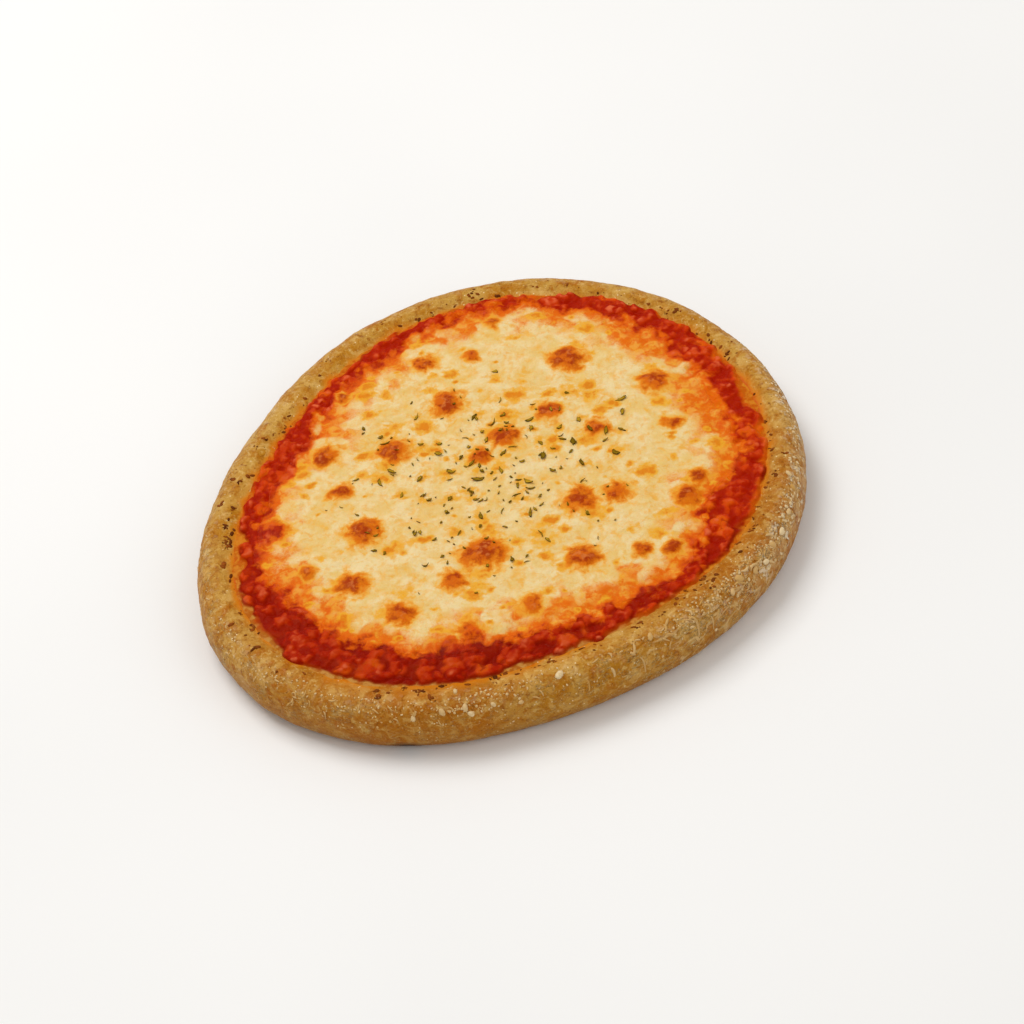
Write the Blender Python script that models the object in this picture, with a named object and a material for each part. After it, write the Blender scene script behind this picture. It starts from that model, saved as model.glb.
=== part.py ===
"""Mini pizza, in metres with +Z up and its origin under the middle of the base.

An oval round of wheat dough has a puffed rim round a shallow hollow, with a few coarse grains
of semolina stuck on it. Tomato sauce fills the hollow up to the rim, and melted cheese with
browned blisters and dried herbs lies on the sauce.
"""

import math
import random

import bmesh
import bpy
from mathutils import Matrix, Vector, noise

MM = 0.001
TURN = 2 * math.pi

# Plan of the dough: a round with an oval, an egg-shaped and a squarish swell
DOUGH_RADIUS = 69 * MM
OVAL_SWELL = 4.45 * MM
OVAL_DIRECTION = math.radians(41)
EGG_SWELL = 2.05 * MM
EGG_DIRECTION = math.radians(-23)
SQUARE_SWELL = 0.35 * MM
SQUARE_DIRECTION = math.radians(41)

# Rim of the dough, measured inwards from its widest line
RIM_WIDTH = 9.5 * MM
RIM_SIDE_SWELL = 0.5 * MM
RIM_SIDE_DIRECTION = math.radians(-170)
RIM_ENDS_SWELL = 0.55 * MM
RIM_ENDS_DIRECTION = math.radians(-36)
RIM_HEIGHT = 13.6 * MM
WAIST_HEIGHT = 6.0 * MM
CREST_SHARE = 0.55
TUCK_SHARE = 0.42
SHOULDER_ROUNDNESS = 2.3

# Hollow for the sauce
SAUCE_EDGE_HEIGHT = 12.3 * MM
HOLLOW_FLOOR = 8.8 * MM
HOLLOW_WALL_RUN = 1.6 * MM

# Unevenness of the dough's skin
PUFF_SIZE = 13 * MM
PUFF_HEIGHT = 0.38 * MM
DIMPLE_SIZE = 5 * MM
DIMPLE_HEIGHT = 0.22 * MM

# Coarse grains on the rim: direction in degrees, share of the rim's width from its widest
# line, and length in millimetres
GRAINS = (
    (249, 0.10, 1.5),
    (254, 0.14, 2.0),
    (258, 0.16, 1.8),
    (259, 0.07, 1.7),
    (263, 0.15, 1.4),
    (256, 0.55, 1.4),
    (268, 0.10, 1.3),
    (276, 0.32, 2.2),
    (296, 0.30, 1.9),
    (316, 0.16, 1.8),
    (319, 0.24, 2.4),
    (323, 0.14, 2.0),
    (326, 0.09, 1.9),
    (330, 0.16, 2.1),
    (334, 0.14, 2.3),
    (339, 0.17, 1.8),
    (345, 0.22, 2.0),
    (348, 0.36, 1.8),
)
GRAIN_BREADTH = 0.7
GRAIN_THICKNESS = 0.45
GRAIN_SEED = 4

# Clear gap between the layers
LAYER_GAP = 0.3 * MM

# Sauce: a disc whose open ring is lumpy with tomato pulp
SAUCE_BED_HEIGHT = 11.5 * MM
SAUCE_LIP_HEIGHT = 12.9 * MM
SAUCE_LIP_WIDTH = 1.4 * MM
SAUCE_FALL_WIDTH = 3.2 * MM
PULP_SIZE = 3.4 * MM
PULP_HEIGHT = 0.75 * MM
PULP_REACH = 0.75
FIRST_RING_SHARE = 0.2
CHEESE_CLEARANCE = 0.9 * MM

# Cheese: how far its edge stays inside the sauce, and the pools where that margin changes,
# each with its direction and half-width in degrees and the extra margin
CHEESE_MARGIN = 3.9 * MM
SAUCE_POOLS = (
    (226, 23, 5.8 * MM),
    (207, 8, 1.5 * MM),
    (272, 22, 3.2 * MM),
    (337, 13, 6.2 * MM),
    (19, 21, 4.2 * MM),
    (110, 10, 0.7 * MM),
    (157, 14, 1.1 * MM),
    (88, 13, -1.4 * MM),
    (315, 7, -2.0 * MM),
)
LOBE_SIZE = 9 * MM
LOBE_DEPTH = 1.1 * MM
CHEESE_THICKNESS = 1.35 * MM
CHEESE_EDGE_THICKNESS = 0.55 * MM
CHEESE_EDGE_RUN = 6 * MM
CURD_SIZE = 5.5 * MM
CURD_HEIGHT = 0.3 * MM

# Browned blisters of the cheese: x, y and width in millimetres, then how dark they are
BLISTERS = (
    (-13, 40, 6, 0.7),
    (-1.5, 40, 4.5, 0.6),
    (-9, 25, 8.5, 0.9),
    (-22.5, 12, 8, 0.85),
    (-38.5, 14, 7, 0.9),
    (-36, 1, 6, 0.6),
    (-33, 32.5, 4, 0.7),
    (5, 50.5, 4, 0.6),
    (3, 11, 7, 0.9),
    (-3, 6, 5.5, 0.8),
    (20.5, 34.5, 8.5, 0.95),
    (39.5, 21.5, 7, 0.9),
    (14.5, 17, 6.5, 0.85),
    (41.5, 7.5, 5, 0.4),
    (24.5, 9, 6.5, 0.45),
    (17.5, -13, 8, 0.75),
    (26, -12.5, 7, 0.65),
    (41.5, -17, 6.5, 0.85),
    (44.5, -11, 5.5, 0.5),
    (-31.5, -12.5, 8.5, 0.9),
    (-35, -28, 8, 0.85),
    (-44.5, -22.5, 4, 0.85),
    (-25, -39, 6.5, 0.75),
    (-5.5, -24.5, 10, 0.9),
    (-12.5, -32, 6.5, 0.8),
    (-11, -46.5, 6, 0.6),
    (-52, -7.5, 8, 0.9),
    (16, -31, 8, 1.0),
    (29, -31.5, 4.5, 0.6),
    (35.5, -31.5, 5, 0.8),
    (3, -42, 6, 0.75),
)
BLISTER_HEIGHT = 0.8 * MM
BLISTER_REACH = 0.65

# Dried herb flakes, strewn over the middle of the cheese
HERB_COUNT = 64
HERB_SEED = 11
HERB_CENTRE = Vector((1.5 * MM, 3.5 * MM, 0))
HERB_SPREAD = (15 * MM, 12 * MM)
HERB_SPREAD_TURN = math.radians(20)
HERB_REACH = 36 * MM
HERB_LENGTHS = (1.5 * MM, 3.0 * MM)
HERB_STANDING = 0.25 * MM
HERB_SUNK = 0.55 * MM
HERB_SPACING = 2.6 * MM
HERB_TILT = math.radians(14)
HERB_BEND = 0.15
HERB_HALF_WIDTHS = (0.14, 0.3, 0.26, 0.08)

# Turns sharper than this between faces are shaded as edges
SHARP_TURN = math.radians(50)

# How finely the outline is measured and the skins are divided
OUTLINE_STEPS = 720
CRUST_STEPS = 120
SHOULDER_STEPS = 7
TUCK_STEPS = 3
INNER_STEPS = 4
SAUCE_STEPS = 168
SAUCE_RINGS = 6
CHEESE_RINGS = 21


def smooth_step(value):
    """Eases from 0 to 1 while value goes from 0 to 1."""
    value = min(max(value, 0), 1)
    return value * value * (3 - 2 * value)


def swell(angle, waves, height, direction):
    return height * math.cos(waves * (angle - direction))


def outer_radius(angle):
    """The dough's widest line, seen from above."""
    return (
        DOUGH_RADIUS
        + swell(angle, 2, OVAL_SWELL, OVAL_DIRECTION)
        + swell(angle, 3, EGG_SWELL, EGG_DIRECTION)
        + swell(angle, 4, SQUARE_SWELL, SQUARE_DIRECTION)
    )


def rim_width(angle):
    return (
        RIM_WIDTH
        + swell(angle, 1, RIM_SIDE_SWELL, RIM_SIDE_DIRECTION)
        + swell(angle, 2, RIM_ENDS_SWELL, RIM_ENDS_DIRECTION)
    )


def cheese_margin(angle):
    """How far the cheese's edge stays inside the sauce's."""
    margin = CHEESE_MARGIN
    for direction, half_width, depth in SAUCE_POOLS:
        away = math.remainder(angle - math.radians(direction), TURN)
        margin += depth * math.exp(-((away / math.radians(half_width)) ** 2))
    on_edge = Vector((math.cos(angle), math.sin(angle), 0)) * DOUGH_RADIUS
    return margin + LOBE_DEPTH * noise.noise(on_edge / LOBE_SIZE)


def angles_round(steps):
    return [TURN * step / steps for step in range(steps)]


def outline_middle():
    """The middle of the widest line's box, which the part's origin lies under."""
    angles = angles_round(OUTLINE_STEPS)
    xs = [outer_radius(angle) * math.cos(angle) for angle in angles]
    ys = [outer_radius(angle) * math.sin(angle) for angle in angles]
    return Vector(((min(xs) + max(xs)) / 2, (min(ys) + max(ys)) / 2, 0))


MIDDLE = outline_middle()


def plan_point(angle, radius, height):
    around = Vector((radius * math.cos(angle), radius * math.sin(angle), height))
    return around - MIDDLE


def dough_relief(point):
    """How far the dough's skin swells or dips at a point."""
    return PUFF_HEIGHT * noise.noise(point / PUFF_SIZE) + DIMPLE_HEIGHT * noise.noise(
        point / DIMPLE_SIZE
    )


def rim_section():
    """The rim's section from the foot outwards, up and in to the sauce.

    Each entry has its share of the rim's width from the widest line, its height, the outward
    and upward parts of the skin's direction, and how much of the relief it shows.
    """
    section = []
    for step in range(TUCK_STEPS):
        turn = math.pi / 2 * (1 - step / TUCK_STEPS)
        share = TUCK_SHARE * (1 - math.cos(turn))
        height = WAIST_HEIGHT * (1 - math.sin(turn))
        section.append((share, height, math.cos(turn), -math.sin(turn), step / TUCK_STEPS))
    power = 2 / SHOULDER_ROUNDNESS
    for step in range(SHOULDER_STEPS + 1):
        turn = math.pi / 2 * step / SHOULDER_STEPS
        across, up = math.cos(turn) ** power, math.sin(turn) ** power
        height = WAIST_HEIGHT + (RIM_HEIGHT - WAIST_HEIGHT) * up
        section.append((CREST_SHARE * (1 - across), height, math.cos(turn), math.sin(turn), 1))
    for step in range(1, INNER_STEPS + 1):
        share = step / INNER_STEPS
        height = RIM_HEIGHT + (SAUCE_EDGE_HEIGHT - RIM_HEIGHT) * smooth_step(share)
        inset = CREST_SHARE + (1 - CREST_SHARE) * share
        section.append((inset, height, 0, 1, 1 - share))
    return section


def crust_rows():
    """Rings of points from the foot round the rim and down to the hollow's floor."""
    rows = []
    for share, height, outward, upward, shown in rim_section():
        row = []
        for angle in angles_round(CRUST_STEPS):
            radius = outer_radius(angle) - share * rim_width(angle)
            relief = shown * dough_relief(plan_point(angle, radius, height))
            radius += relief * outward
            row.append(plan_point(angle, radius, height + relief * upward))
        rows.append(row)
    floor = []
    for angle in angles_round(CRUST_STEPS):
        radius = outer_radius(angle) - rim_width(angle) - HOLLOW_WALL_RUN
        floor.append(plan_point(angle, radius, HOLLOW_FLOOR))
    rows.append(floor)
    return rows


def skin_pose(part, x, y):
    """A pose on the part's upper skin over a plan point, with its Z axis off the skin."""
    above = Vector((x, y, 2 * RIM_HEIGHT))
    _, spot, slope, _ = part.ray_cast(above, Vector((0, 0, -1)))
    return Matrix.Translation(spot) @ slope.to_track_quat("Z", "Y").to_matrix().to_4x4()


def grain(crust, direction, share, length, rng):
    """One coarse flat grain, half sunk in the rim."""
    angle = math.radians(direction)
    place = plan_point(angle, outer_radius(angle) - share * rim_width(angle), 0)
    turn = Matrix.Rotation(rng.uniform(0, TURN), 4, "Z")
    half = length * MM / 2
    shape = Matrix.Diagonal((half, half * GRAIN_BREADTH, half * GRAIN_THICKNESS, 1))
    maker = bmesh.new()
    pose = skin_pose(crust, place.x, place.y) @ turn @ shape
    bmesh.ops.create_icosphere(maker, subdivisions=1, radius=1, matrix=pose)
    return object_from(maker, "grain")


def crust_grains(crust):
    rng = random.Random(GRAIN_SEED)
    return [grain(crust, *place, rng) for place in GRAINS]


def sauce_edge_radius(angle):
    return outer_radius(angle) - rim_width(angle) - LAYER_GAP


def cheese_edge_radius(angle):
    return sauce_edge_radius(angle) - cheese_margin(angle)


def pulp_relief(point):
    """Rounded lumps of tomato pulp, each the dome of one random cell."""
    distances, _ = noise.voronoi(Vector((point.x, point.y, 0)) / PULP_SIZE)
    return PULP_HEIGHT * (1 - min(distances[0] / PULP_REACH, 1) ** 2)


def sauce_rows():
    """Rings from the sauce's underside up round its lip and over the open ring to its bed."""
    under, lip = [], []
    for angle in angles_round(SAUCE_STEPS):
        edge = sauce_edge_radius(angle)
        under.append(plan_point(angle, edge - HOLLOW_WALL_RUN, HOLLOW_FLOOR + LAYER_GAP))
        lip.append(plan_point(angle, edge, SAUCE_EDGE_HEIGHT))
    rows = [under, lip]
    for ring in range(1, SAUCE_RINGS + 1):
        row = []
        for angle in angles_round(SAUCE_STEPS):
            edge = sauce_edge_radius(angle) - FIRST_RING_SHARE * SAUCE_LIP_WIDTH
            bed = cheese_edge_radius(angle) + CHEESE_CLEARANCE
            share = (ring - 1) / (SAUCE_RINGS - 1)
            radius = edge + (bed - edge) * share
            rise = smooth_step((sauce_edge_radius(angle) - radius) / SAUCE_LIP_WIDTH)
            fall = smooth_step((radius - bed) / SAUCE_FALL_WIDTH)
            lumps = pulp_relief(plan_point(angle, radius, 0))
            top = SAUCE_LIP_HEIGHT - PULP_HEIGHT / 2 + lumps
            low = SAUCE_BED_HEIGHT if ring > 1 else SAUCE_EDGE_HEIGHT + LAYER_GAP
            row.append(plan_point(angle, radius, low + (top - low) * rise * fall))
        rows.append(row)
    return rows


def blister_relief(point):
    """The domes of the browned blisters."""
    relief = 0
    for x, y, width, browning in BLISTERS:
        away = math.hypot(point.x - x * MM, point.y - y * MM) / (width * MM * BLISTER_REACH)
        if away < 1:
            relief = max(relief, BLISTER_HEIGHT * browning * (1 - away * away) ** 2)
    return relief


def cheese_height(point, from_edge):
    """The top of the cheese at a plan point that lies from_edge inside its edge."""
    share = smooth_step(from_edge / CHEESE_EDGE_RUN)
    thickness = CHEESE_EDGE_THICKNESS + (CHEESE_THICKNESS - CHEESE_EDGE_THICKNESS) * share
    curds = CURD_HEIGHT * noise.noise(point / CURD_SIZE) * share
    bottom = SAUCE_BED_HEIGHT + LAYER_GAP
    return bottom + thickness + curds + blister_relief(point)


def cheese_vertex(ring, place):
    """A point of the cheese's top, in rings of 6, 12, 18 and so on about its middle."""
    if ring == 0:
        middle = plan_point(0, 0, 0)
        middle.z = cheese_height(middle, DOUGH_RADIUS)
        return middle
    angle = TURN * place / (6 * ring)
    edge = cheese_edge_radius(angle)
    radius = edge * ring / CHEESE_RINGS
    point = plan_point(angle, radius, 0)
    point.z = cheese_height(point, edge - radius)
    return point


def object_from(mesh_maker, name):
    """Makes an object from a bmesh and turns its faces outwards."""
    bmesh.ops.recalc_face_normals(mesh_maker, faces=mesh_maker.faces)
    mesh = bpy.data.meshes.new(name)
    mesh_maker.to_mesh(mesh)
    mesh_maker.free()
    made = bpy.data.objects.new(name, mesh)
    bpy.context.scene.collection.objects.link(made)
    return made


def stitch(mesh_maker, lower, upper):
    """Faces between two closed rings of as many vertices."""
    count = len(lower)
    for i in range(count):
        j = (i + 1) % count
        mesh_maker.faces.new((lower[i], lower[j], upper[j], upper[i]))


def cap(mesh_maker, ring):
    """Closes a flat ring with a fan about its middle."""
    middle = sum((vertex.co for vertex in ring), Vector()) / len(ring)
    hub = mesh_maker.verts.new(middle)
    for i, vertex in enumerate(ring):
        mesh_maker.faces.new((hub, vertex, ring[(i + 1) % len(ring)]))


def capped_rings(name, rows):
    """A closed solid through rings of points, with a flat fan at each end."""
    maker = bmesh.new()
    rings = [[maker.verts.new(point) for point in row] for row in rows]
    for lower, upper in zip(rings, rings[1:]):
        stitch(maker, lower, upper)
    cap(maker, rings[0])
    cap(maker, rings[-1])
    return object_from(maker, name)


def cheese_sheet():
    """The sheet of cheese: a top of even triangles, a low side and a flat underside."""
    maker = bmesh.new()
    rings = [[maker.verts.new(cheese_vertex(0, 0))]]
    for ring in range(1, CHEESE_RINGS + 1):
        points = [cheese_vertex(ring, place) for place in range(6 * ring)]
        rings.append([maker.verts.new(point) for point in points])
        for sector in range(6):
            for step in range(ring):
                outer = sector * ring + step
                inner = sector * (ring - 1) + step
                a = rings[ring][outer]
                b = rings[ring][(outer + 1) % (6 * ring)]
                c = rings[ring - 1][inner % len(rings[ring - 1])]
                maker.faces.new((a, b, c))
                if step < ring - 1:
                    d = rings[ring - 1][(inner + 1) % len(rings[ring - 1])]
                    maker.faces.new((b, d, c))
    bottom = SAUCE_BED_HEIGHT + LAYER_GAP
    under = [maker.verts.new((v.co.x, v.co.y, bottom)) for v in rings[-1]]
    stitch(maker, rings[-1], under)
    cap(maker, under)
    return object_from(maker, "cheese")


def herb_places():
    """Seeded places of the herb flakes, thinning out from the middle of their patch."""
    rng = random.Random(HERB_SEED)
    turn = Matrix.Rotation(HERB_SPREAD_TURN, 3, "Z")
    places = []
    while len(places) < HERB_COUNT:
        strewn = Vector((rng.gauss(0, HERB_SPREAD[0]), rng.gauss(0, HERB_SPREAD[1]), 0))
        place = HERB_CENTRE + turn @ strewn
        apart = all((place - other).length > HERB_SPACING for other in places)
        if apart and strewn.length < HERB_REACH:
            places.append(place)
    return places


def herb_flake(cheese, place, rng):
    """One thin bent flake, lying on the cheese and mostly sunk in it."""
    length = rng.uniform(*HERB_LENGTHS)
    bend = rng.uniform(-HERB_BEND, HERB_BEND) * length
    turn = Matrix.Rotation(rng.uniform(0, TURN), 4, "Z")
    tilt = Matrix.Rotation(rng.uniform(-HERB_TILT, HERB_TILT), 4, "Y")
    pose = skin_pose(cheese, place.x, place.y) @ turn @ tilt
    maker = bmesh.new()
    rows = []
    last = len(HERB_HALF_WIDTHS) - 1
    for station, half_width in enumerate(HERB_HALF_WIDTHS):
        share = station / last
        x = (share - 0.5) * length
        arch = bend * (1 - (2 * share - 1) ** 2)
        half = half_width * length
        left, right = arch + half, arch - half
        corners = (
            (x, left, HERB_STANDING),
            (x, right, HERB_STANDING),
            (x, right, -HERB_SUNK),
            (x, left, -HERB_SUNK),
        )
        rows.append([maker.verts.new(pose @ Vector(corner)) for corner in corners])
    for lower, upper in zip(rows, rows[1:]):
        stitch(maker, lower, upper)
    maker.faces.new(rows[0])
    maker.faces.new(rows[-1])
    bmesh.ops.triangulate(maker, faces=maker.faces)
    return object_from(maker, "herb_flake")


def cheese_herbs(cheese):
    rng = random.Random(HERB_SEED)
    return [herb_flake(cheese, place, rng) for place in herb_places()]


def fuse(target, pieces):
    """Joins the pieces to the target with one Boolean union, and removes them."""
    group = bpy.data.collections.new("fused_pieces")
    for piece in pieces:
        bpy.context.scene.collection.objects.unlink(piece)
        group.objects.link(piece)
    union = target.modifiers.new("union", "BOOLEAN")
    union.operation = "UNION"
    union.operand_type = "COLLECTION"
    union.collection = group
    union.solver = "EXACT"
    bpy.context.view_layer.objects.active = target
    bpy.ops.object.modifier_apply(modifier=union.name)
    for piece in pieces:
        bpy.data.objects.remove(piece)
    bpy.data.collections.remove(group)


def finish(part, colour, roughness):
    """Gives a part its smooth shading and its food-coloured material."""
    material = bpy.data.materials.new(part.name)
    material.use_nodes = True
    shader = material.node_tree.nodes["Principled BSDF"]
    shader.inputs["Base Color"].default_value = (*colour, 1)
    shader.inputs["Roughness"].default_value = roughness
    shader.inputs["Metallic"].default_value = 0
    part.data.materials.clear()
    part.data.materials.append(material)
    part.data.shade_smooth()
    part.data.set_sharp_from_angle(angle=SHARP_TURN)


def main():
    for old in list(bpy.data.objects):
        bpy.data.objects.remove(old)
    crust = capped_rings("crust", crust_rows())
    sauce = capped_rings("sauce", sauce_rows())
    cheese = cheese_sheet()
    bpy.context.view_layer.update()
    fuse(crust, crust_grains(crust))
    fuse(cheese, cheese_herbs(cheese))
    finish(crust, (0.49, 0.26, 0.08), 0.75)
    finish(sauce, (0.42, 0.03, 0.004), 0.35)
    finish(cheese, (0.8, 0.53, 0.19), 0.45)


main()
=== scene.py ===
"""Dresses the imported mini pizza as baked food, on a plain pale set.

The dough's skin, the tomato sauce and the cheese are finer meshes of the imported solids' forms.
Herb flakes, semolina grains and dark specks lie on them. All lengths are in metres.
"""

import math
import random

import bpy
import numpy as np
from mathutils import Matrix, Vector, noise

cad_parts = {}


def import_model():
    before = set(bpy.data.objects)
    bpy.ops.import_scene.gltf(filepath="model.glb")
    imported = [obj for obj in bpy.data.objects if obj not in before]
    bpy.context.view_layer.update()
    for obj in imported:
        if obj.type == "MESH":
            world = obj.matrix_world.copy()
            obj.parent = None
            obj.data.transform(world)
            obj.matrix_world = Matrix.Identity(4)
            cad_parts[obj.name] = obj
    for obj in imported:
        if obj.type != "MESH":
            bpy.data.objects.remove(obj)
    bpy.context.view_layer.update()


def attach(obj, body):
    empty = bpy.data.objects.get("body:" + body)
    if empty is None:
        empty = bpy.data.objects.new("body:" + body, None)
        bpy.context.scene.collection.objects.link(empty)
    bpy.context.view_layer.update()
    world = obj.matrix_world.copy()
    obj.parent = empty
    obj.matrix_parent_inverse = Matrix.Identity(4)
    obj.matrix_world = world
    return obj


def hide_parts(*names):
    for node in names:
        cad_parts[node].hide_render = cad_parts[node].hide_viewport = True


MM = 0.001
TURN = 2 * math.pi

# Camera, as the photograph's view of the pizza
CAMERA_AIM = Vector((2.13, -5.22, 5.02)) * MM
CAMERA_ELEVATION = math.radians(45)
CAMERA_ROLL = math.radians(-9)
CAMERA_DISTANCE = 0.6
CAMERA_LENS = 92.6

# Plan of the dough, as in the part's source
DOUGH_RADIUS = 69 * MM
# Swells, with how many there are round the plan, their height, and a direction in degrees
OUTLINE_SWELLS = ((2, 4.45 * MM, 41), (3, 2.05 * MM, -23), (4, 0.35 * MM, 41))
OUTLINE_STEPS = 720

# Rim of the dough
RIM_WIDTH = 9.5 * MM
RIM_SWELLS = ((1, 0.5 * MM, -170), (2, 0.55 * MM, -36))
RIM_HEIGHT = 13.6 * MM
WAIST_HEIGHT = 6.0 * MM
CREST_SHARE = 0.55
TUCK_SHARE = 0.42
SHOULDER_ROUNDNESS = 2.3
SAUCE_EDGE_HEIGHT = 12.3 * MM
HOLLOW_FLOOR = 8.8 * MM
HOLLOW_WALL_RUN = 1.6 * MM
PUFF_SIZE = 13 * MM
PUFF_HEIGHT = 0.38 * MM
DIMPLE_SIZE = 5 * MM
DIMPLE_HEIGHT = 0.22 * MM

# Finer relief of the rim's skin. Noise is given by its height and size in millimetres and a seed.
SKIN_WAVES = ((0.10, 1.7, 1), (0.05, 0.8, 2))
WRINKLE_HEIGHT = 0.13 * MM
WRINKLE_LENGTH = 5.5 * MM
WRINKLE_GAP = 1.15 * MM
WRINKLE_RISE = 1.5 * MM
WRINKLE_BEND = 1.6
WRINKLE_BEND_SIZE = 4 * MM
WRINKLE_SHARPNESS = 5

# Where the rim's looks change: direction and half width in degrees, in tables also the height
CREASED_LEAST = 0.2
CREASED = ((312, 30, 1.0), (200, 34, 0.6), (10, 26, 0.5))
OIL_REACH = 0.75 * MM
OIL_LEAST_REACH = 0.2 * MM
OIL_SWELLS = ((0, 40, 0.5 * MM), (188, 20, 0.4 * MM))
DRY_FLANK = (306, 34)
DRY_FRONT = (244, 30)
GLAZED_FRONT = (258, 34)
GLAZE_REACH = 2.6 * MM
GLAZE_SWELL = 1.6 * MM
FLOUR_PATCH = (338, 24)
FLOUR_TAIL = (8, 24)
FLOUR_FOOT = 5 * MM
FLOUR_RISE = 4 * MM
BAKED = ((250, 42, 1.0), (350, 20, 0.5), (277, 16, -0.6))
BROWN_PATCH = (326, 24)
GOLDEN = ((240, 46, 0.6), (90, 60, 0.3))
BURNT_SPOT = (247, 2.6)
BURNT_HEIGHT = 1.8 * MM
BURNT_REACH = 2.2 * MM
WALL_SHADE_HEIGHT = 10.5 * MM

# Sauce
LAYER_GAP = 0.3 * MM
SAUCE_BED_HEIGHT = 11.5 * MM
SAUCE_LIP_HEIGHT = 12.9 * MM
SAUCE_LIP_WIDTH = 1.4 * MM
PULP_SIZE = 3.4 * MM
PULP_HEIGHT = 0.75 * MM
BIT_SIZE = 1.7 * MM
BIT_HEIGHT = 0.42 * MM
BIT_SHIFT = 11 * MM
LUMP_CRISPNESS = 9.5
LUMP_REACH = 0.7
LUMP_BEND = 0.42
LUMP_BEND_SIZE = 0.7
CRACK_WIDTH = 0.35
SAUCE_SPILL = 2.2 * MM
SAUCE_DIP = 0.9 * MM
SAUCE_DIP_START = 0.25 * MM
SAUCE_DIP_RUN = 1.4 * MM

# Torn edge of the sauce on the rim, with a thin film of it beyond
SPILL_REACH = 1.2 * MM
SPILL_SWELLS = ((48, 24, 0.9 * MM), (192, 12, -1.1 * MM), (238, 16, -0.3 * MM), (20, 9, -1.0 * MM))
SPILL_WAVES = ((1.5, 6, 61), (0.4, 2.2, 62))
SPILL_LUMPS = 1.2 * MM
SPILL_BITS = 0.5 * MM
FILM_THICKNESS = 0.11 * MM
SINK_START = 0.3 * MM
SINK_RUN = 4 * MM
RIND_START = 0.6 * MM
RIND_WIDTH = 0.5 * MM
RIND_SWELLS = ((352, 36, 0.9 * MM),)
BARE_START = 0.1 * MM
BARE_RUN = 0.7 * MM
# Where the front of the sauce gets painted shadow of the near rim, and its film on the rim is drier
DARK_FRONT = (252, 54)

# Cheese
CHEESE_MARGIN = 3.9 * MM
SAUCE_POOLS = (
    (226, 23, 5.8 * MM), (207, 8, 1.5 * MM), (272, 22, 3.2 * MM), (337, 13, 6.2 * MM),
    (19, 21, 4.2 * MM), (110, 10, 0.7 * MM), (157, 14, 1.1 * MM), (88, 13, -1.4 * MM),
    (315, 7, -2.0 * MM),
)
LOBE_SIZE = 9 * MM
LOBE_DEPTH = 1.1 * MM
CHEESE_THICKNESS = 1.35 * MM
CHEESE_EDGE_THICKNESS = 0.55 * MM
CHEESE_EDGE_RUN = 6 * MM
CHEESE_OVERLAP = 0.6 * MM
SAUCE_UNDER_CHEESE = 3.5 * MM
CHEESE_EDGE_WAVES = ((1.1, 4, 31), (0.7, 1.9, 32))
CHEESE_EDGE_DROP = 0.6 * MM
CHEESE_EDGE_DEPTH = 0.4 * MM
CHEESE_LIFT = 0.06 * MM
CHEESE_WAVES = ((0.3, 5.5, 0), (0.05, 1.4, 3))
SHRED_HEIGHT = 0.11 * MM
SHRED_LENGTH = 5.5 * MM
SHRED_WIDTH = 1.25 * MM
SHRED_WARP_SIZE = 6 * MM
SHRED_PATCH_SIZE = 8 * MM
BLISTER_BEND = 1.1 * MM
BLISTER_BEND_SIZE = 5 * MM
DOME_SHARE = 1.3
HALO_SHARE = 1.75
BLISTER_HEIGHT = 0.8 * MM
BLISTERS = (
    # x, y and width in millimetres, then how dark
    (-13, 40, 6, 0.7), (-1.5, 40, 4.5, 0.6), (-9, 25, 8.5, 0.9), (-22.5, 12, 8, 0.85),
    (-38.5, 14, 7, 0.9), (-36, 1, 6, 0.6), (-33, 32.5, 4, 0.7), (5, 50.5, 4, 0.6), (3, 11, 7, 0.9),
    (-3, 6, 5.5, 0.8), (20.5, 34.5, 8.5, 0.95), (39.5, 21.5, 7, 0.9), (14.5, 17, 6.5, 0.85),
    (41.5, 7.5, 5, 0.4), (24.5, 9, 6.5, 0.45), (17.5, -13, 8, 0.75), (26, -12.5, 7, 0.65),
    (41.5, -17, 6.5, 0.85), (44.5, -11, 5.5, 0.5), (-31.5, -12.5, 8.5, 0.9), (-35, -28, 8, 0.85),
    (-44.5, -22.5, 4, 0.85), (-25, -39, 6.5, 0.75), (-5.5, -24.5, 10, 0.9), (-12.5, -32, 6.5, 0.8),
    (-11, -46.5, 6, 0.6), (-52, -7.5, 8, 0.9), (16, -31, 8, 1.0), (29, -31.5, 4.5, 0.6),
    (35.5, -31.5, 5, 0.8), (3, -42, 6, 0.75),
)

# How the cheese and the sauce run into each other
BLEND_START = 2 * MM
BLEND_RUN = 6 * MM
WILD_REACH = 1.6 * MM
WILD_SWELLS = ((0, 34, 1.2 * MM), (3, 7, 1.2 * MM), (84, 12, 1.2 * MM), (253, 10, -1.2 * MM))
WILD_WAVES = ((-2.6, 4.5, 9), (1.2, 2, 10))
RED_RUN = 9 * MM
NEAR_REACH = 2 * MM
NEAR_OWN = 2.4 * MM
WARM_RUN = 13 * MM

# Sauce that shows through the cheese: x, y and reach in millimetres
RED_PATCHES = ((-51, -8, 4.5), (-11, -46.5, 3.2), (43, -13, 3.0))
RED_PATCH_DEPTH = 5 * MM

# Small golden flecks between the blisters, and yellow stains under some of the herbs
FLECK_COUNT = 190
FLECK_SEED = 5
FLECK_WIDTHS = (0.9 * MM, 3.6 * MM)
FLECK_STRENGTHS = (0.55, 1.1)
FLECK_SQUASH = 0.8
FLECK_HALO = 1.7
STAIN_COUNT = 40
STAIN_WIDTHS = (2.0 * MM, 4.0 * MM)
STAIN_STRENGTHS = (0.35, 0.6)

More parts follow.
